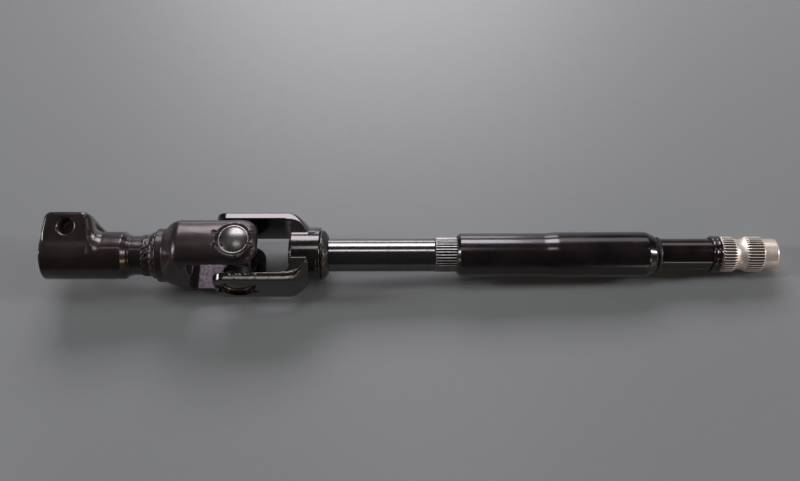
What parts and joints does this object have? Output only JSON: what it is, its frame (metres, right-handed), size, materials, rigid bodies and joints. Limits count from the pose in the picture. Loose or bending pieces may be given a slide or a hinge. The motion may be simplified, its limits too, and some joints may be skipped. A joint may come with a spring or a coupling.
{
  "type": "steering column lower shaft with universal joint",
  "caption": "Lower steering shaft: pinch clamp socket, needle-bearing universal joint, sliding splined shaft and sleeve, serrated column end.",
  "frame": {"origin": "centre of the flat end face of the serrated column end", "axes": "+X along the shaft, out of the serrated column end; +Z along the coupling yoke's bearing pins; +Y along the shaft yoke's bearing pins, on the clamp lug's side"},
  "size_m": [0.3862, 0.0429, 0.0446],
  "materials": {
    "black_paint": "semi-gloss black paint with a slight orange peel",
    "gloss_paint": "glossy black paint",
    "weld_paint": "black paint over a rippled weld bead",
    "bare_steel": "bright machined steel",
    "bearing_steel": "polished bearing steel",
    "dark_steel": "smooth blackened steel",
    "seal_rubber": "matt black rubber",
    "thrust_plastic": "natural nylon"
  },
  "bodies": {
    "column_end": {"column_stub": "bare_steel", "end_collar": "gloss_paint", "sleeve_tube": "black_paint", "sleeve_weld": "weld_paint"},
    "shaft": {"splined_shaft": "dark_steel", "shaft_weld": "weld_paint", "shaft_yoke": "gloss_paint", "shaft_left_cup": "bearing_steel", "shaft_right_cup": "bearing_steel", "shaft_left_rollers": "bearing_steel", "shaft_right_rollers": "bearing_steel", "shaft_left_seal": "seal_rubber", "shaft_right_seal": "seal_rubber"},
    "cross": {"joint_cross": "dark_steel", "coupling_upper_thrust_pin": "thrust_plastic", "coupling_lower_thrust_pin": "thrust_plastic", "shaft_left_thrust_pin": "thrust_plastic", "shaft_right_thrust_pin": "thrust_plastic"},
    "coupling": {"clamp_coupling": "black_paint", "coupling_weld": "weld_paint", "coupling_yoke": "black_paint", "coupling_upper_cup": "bearing_steel", "coupling_lower_cup": "bearing_steel", "coupling_upper_rollers": "bearing_steel", "coupling_lower_rollers": "bearing_steel", "coupling_upper_seal": "seal_rubber", "coupling_lower_seal": "seal_rubber"}
  },
  "joints": [
    {"name": "spline_slide", "type": "slide", "parent": "column_end", "child": "shaft", "axis": [1, 0, 0], "range_m": [-0.015, 0.01]},
    {"name": "shaft_yoke_pins", "type": "hinge", "parent": "shaft", "child": "cross", "pos_m": [-0.2838, 0, 0], "axis": [0, 1, 0], "range_deg": [-35, 35]},
    {"name": "coupling_yoke_pins", "type": "hinge", "parent": "cross", "child": "coupling", "pos_m": [-0.2838, 0, 0], "axis": [0, 0, 1], "range_deg": [-35, 35]}
  ]
}
